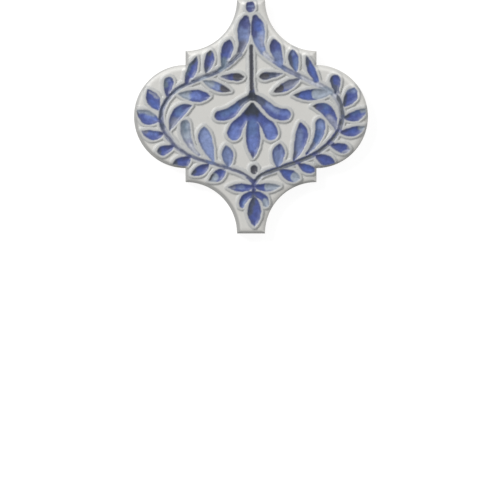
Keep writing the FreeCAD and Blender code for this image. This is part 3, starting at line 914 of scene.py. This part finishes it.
def make_glaze():
    material, tree, spot = new_material("white_and_cobalt_glaze")
    noted = [place(tree, "ShaderNodeAttribute", attribute_name=name).outputs for name in NOTES]
    melt, coat_and_shade, rim_highlight = [outputs["Fac"] for outputs in noted]
    washes = place(tree, "ShaderNodeAttribute", attribute_name="wash").outputs["Color"]
    drift = grouped(tree, DRIFT, {"Coordinates": spot, "Scale": 45.0, "Middle": 1.0, "Depth": 0.12})
    mottle = grouped(tree, DRIFT, {"Coordinates": spot, "Scale": 420.0, "Middle": 1.0, "Depth": 1.1})
    wobble = grouped(tree, DRIFT, {"Coordinates": spot, "Scale": 700.0, "Middle": 0.0, "Depth": 0.9})
    ragged = place(tree, "ShaderNodeMath", {0: melt, 1: wobble}, operation="ADD").outputs[0]
    white = mixed(tree, ranged(tree, ragged, *GREY_RIDGE, 1.0, 0.0), WHITE_GLAZE, RIDGE_GLAZE)
    # the rim greys where the coat is thin, and more on the lower left as painted shade
    white = mixed(tree, ranged(tree, coat_and_shade, 0.0, THIN_AND_SHADED_RIM, 1.0, 0.0), white, EDGE_GLAZE_AND_SHADE)
    # the painted highlight along the upper rim
    white = mixed(tree, rim_highlight, white, PAINTED_RIM_HIGHLIGHT)
    white = mixed(tree, 1.0, white, drift, "MULTIPLY")
    specks = grouped(tree, SPECKS, {"Coordinates": spot, "Scale": 140.0, "Size": 0.03, "Share": 0.16})
    white = mixed(tree, specks, white, SPECK_BROWN)
    blue = mixed(tree, 1.0, washes, mottle, "MULTIPLY")
    # a darker ring at the foot of the wall, partly pooled glaze and partly painted shade
    blue = mixed(tree, ranged(tree, ragged, *POOL_AND_SHADE, 0.0, POOL_AND_SHADE_DEPTH), blue, POOLED_AND_SHADED_GLAZE)
    colour = mixed(tree, ranged(tree, ragged, *BLUE_END, 1.0, 0.0), white, blue)
    roughness = ranged(tree, mottle, 0.8, 1.2, *GLAZE_ROUGHNESS)
    height = grouped(tree, SKIN, {"Coordinates": spot, "Scale": 260.0, "Grit": 0.15})
    finish_material(tree, colour, roughness, height, 0.08, IOR=1.46)
    return material


glaze = make_glaze()
print("made", glaze.name)

# %% [markdown]
# ## Bare clay
#
# The foot and the back are biscuit: fired clay with no glaze, dull, slightly warm and a little gritty.
# The press and the kiln shelf leave it unevenly toned, so its drift is stronger than the glaze's.

# %% Make the bare clay
BISCUIT = (*linear((214, 190, 164)), 1)
SCORCHED = (*linear((178, 142, 112)), 1)
CLAY_ROUGHNESS = (0.78, 0.92)


def make_clay():
    material, tree, spot = new_material("bare_biscuit_clay")
    drift = grouped(tree, DRIFT, {"Coordinates": spot, "Scale": 28.0, "Middle": 1.0, "Depth": 1.6})
    grain = grouped(tree, DRIFT, {"Coordinates": spot, "Scale": 900.0, "Middle": 1.0, "Depth": 0.35})
    toned = mixed(tree, ranged(tree, drift, 0.85, 1.35), BISCUIT, SCORCHED)
    toned = mixed(tree, 1.0, toned, grain, "MULTIPLY")
    specks = grouped(tree, SPECKS, {"Coordinates": spot, "Scale": 420.0, "Size": 0.2, "Share": 0.2})
    colour = mixed(tree, specks, toned, SPECK_BROWN)
    roughness = ranged(tree, grain, 0.85, 1.15, *CLAY_ROUGHNESS)
    height = grouped(tree, SKIN, {"Coordinates": spot, "Scale": 900.0, "Grit": 0.8})
    finish_material(tree, colour, roughness, height, 0.45)
    return material


clay = make_clay()
tile_mesh.materials.append(glaze)
tile_mesh.materials.append(clay)
finish_of_face = np.ones(len(tile_mesh.polygons), dtype=np.int32)
finish_of_face[:glazed_count] = 0
tile_mesh.polygons.foreach_set("material_index", finish_of_face)
print("glazed faces", glazed_count, "clay faces", len(finish_of_face) - glazed_count)

# %% [markdown]
# ## A white table
#
# The tile lies on its back on a plain white sheet. A ray from the camera, or one that a glossy surface
# throws back, sees the sheet as white paper that shines a little by itself, so the background stays white
# and the tile's soft shadow still shows. Other rays see it as dull paper, so it adds no light of its own
# to the tile.

# %% Lay the white sheet
SHEET_HALF = 3.0            # in metres
SHEET_LEVEL = -0.00005      # a hair below the tile's back, so that the two are never level
SHEET_GLOW = 0.9
DULL_PAPER = (0.8, 0.8, 0.8, 1)
FAINT_PAPER = (0.2, 0.2, 0.2, 1)

sheet_mesh = bpy.data.meshes.new("white_sheet")
corner_signs = [(-1, -1), (1, -1), (1, 1), (-1, 1)]
sheet_corners = [(x * SHEET_HALF, y * SHEET_HALF, SHEET_LEVEL) for x, y in corner_signs]
sheet_mesh.from_pydata(sheet_corners, [], [(0, 1, 2, 3)])
white_sheet = bpy.data.objects.new("white_sheet", sheet_mesh)
bpy.context.scene.collection.objects.link(white_sheet)


def seen_directly(tree):
    """One for rays from the camera, from a mirror or through glass, nothing for the rest."""
    path = place(tree, "ShaderNodeLightPath").outputs
    straight = place(tree, "ShaderNodeMath", {0: path["Is Camera Ray"], 1: path["Is Glossy Ray"]},
                     operation="MAXIMUM").outputs[0]
    return place(tree, "ShaderNodeMath", {0: straight, 1: path["Is Transmission Ray"]},
                 operation="MAXIMUM").outputs[0]


paper, paper_tree, _ = new_material("white_paper")
dull = place(paper_tree, "ShaderNodeBsdfDiffuse", {"Color": DULL_PAPER})
faint = place(paper_tree, "ShaderNodeBsdfDiffuse", {"Color": FAINT_PAPER})
glow = place(paper_tree, "ShaderNodeEmission", {"Strength": SHEET_GLOW})
glowing = place(paper_tree, "ShaderNodeAddShader", {0: faint.outputs[0], 1: glow.outputs[0]})
either = place(paper_tree, "ShaderNodeMixShader", {0: seen_directly(paper_tree), 1: dull.outputs[0],
                                                   2: glowing.outputs[0]})
place(paper_tree, "ShaderNodeOutputMaterial", {"Surface": either.outputs[0]})
sheet_mesh.materials.append(paper)
print("white sheet laid")

# %% [markdown]
# ## Light
#
# The light comes from a broad window up and to the left, low enough to draw a shadow on the far side of
# every ridge. A much weaker one up and to the right lifts the rim and the walls that face that way. The
# rest of the room gives about a third of the light and fills the shadows. Together they light a level
# surface so that a colour comes out about as it was mixed.

# %% Hang the lamps
WINDOW_AWAY = 1.6           # in metres
WINDOW_SIZE = 0.7
WINDOWS = [                 # the way to each window, and its share of a level surface's light
    ("left_window", (-0.60, 0.48, 0.65), 0.57),
    ("right_window", (0.60, 0.60, 0.60), 0.08),
]
ROOM_SHARE = 0.35
WHITE = (1, 1, 1, 1)

for name, way, share in WINDOWS:
    aim = Vector(way).normalized()
    lamp = bpy.data.lights.new(name, "AREA")
    lamp.shape = "DISK"
    lamp.size = WINDOW_SIZE
    lamp.energy = share * math.pi**2 * WINDOW_AWAY**2 / aim.z
    window = bpy.data.objects.new(name, lamp)
    window.location = aim * WINDOW_AWAY
    window.rotation_euler = aim.to_track_quat("Z", "Y").to_euler()
    bpy.context.scene.collection.objects.link(window)
    print(name, "of", round(lamp.energy, 1), "watts")

room = bpy.data.worlds.new("room")
room.use_nodes = True
room_tree = room.node_tree
room_tree.nodes.clear()
fill = place(room_tree, "ShaderNodeBackground", {"Color": WHITE, "Strength": ROOM_SHARE})
backdrop = place(room_tree, "ShaderNodeBackground", {"Color": WHITE, "Strength": 1.0})
shown = place(room_tree, "ShaderNodeMixShader", {0: seen_directly(room_tree), 1: fill.outputs[0],
                                                 2: backdrop.outputs[0]})
place(room_tree, "ShaderNodeOutputWorld", {"Surface": shown.outputs[0]})
bpy.context.scene.world = room
bpy.context.scene.view_settings.view_transform = "Standard"
print("room light of strength", ROOM_SHARE)

# %% [markdown]
# ## Camera
#
# The picture looks straight down on the tile from far off through a long lens, so that hardly any of the
# side shows. The tile sits high in the frame, with its top neck at the frame's edge.

# %% Set up the camera
PICTURE_WIDTH = 500         # pixels
TILE_WIDTH_SEEN = 234       # pixels that the tile's span covers
VIEW_CENTRE = (-0.64, -85.3)    # point of the tile's plane in the picture's middle, in millimetres
CAMERA_AWAY = 2.5           # in metres, above the face
SENSOR = 36.0

view_width = 2 * half_span * MM * PICTURE_WIDTH / TILE_WIDTH_SEEN
camera_data = bpy.data.cameras.new("camera")
camera_data.sensor_width = SENSOR
camera_data.lens = SENSOR * CAMERA_AWAY / view_width
camera = bpy.data.objects.new("camera", camera_data)
camera.location = (VIEW_CENTRE[0] * MM, VIEW_CENTRE[1] * MM, CAMERA_AWAY + field * MM)
bpy.context.scene.collection.objects.link(camera)
bpy.context.scene.camera = camera
print("lens of", round(camera_data.lens, 1), "mm shows a width of", round(view_width, 4), "m")
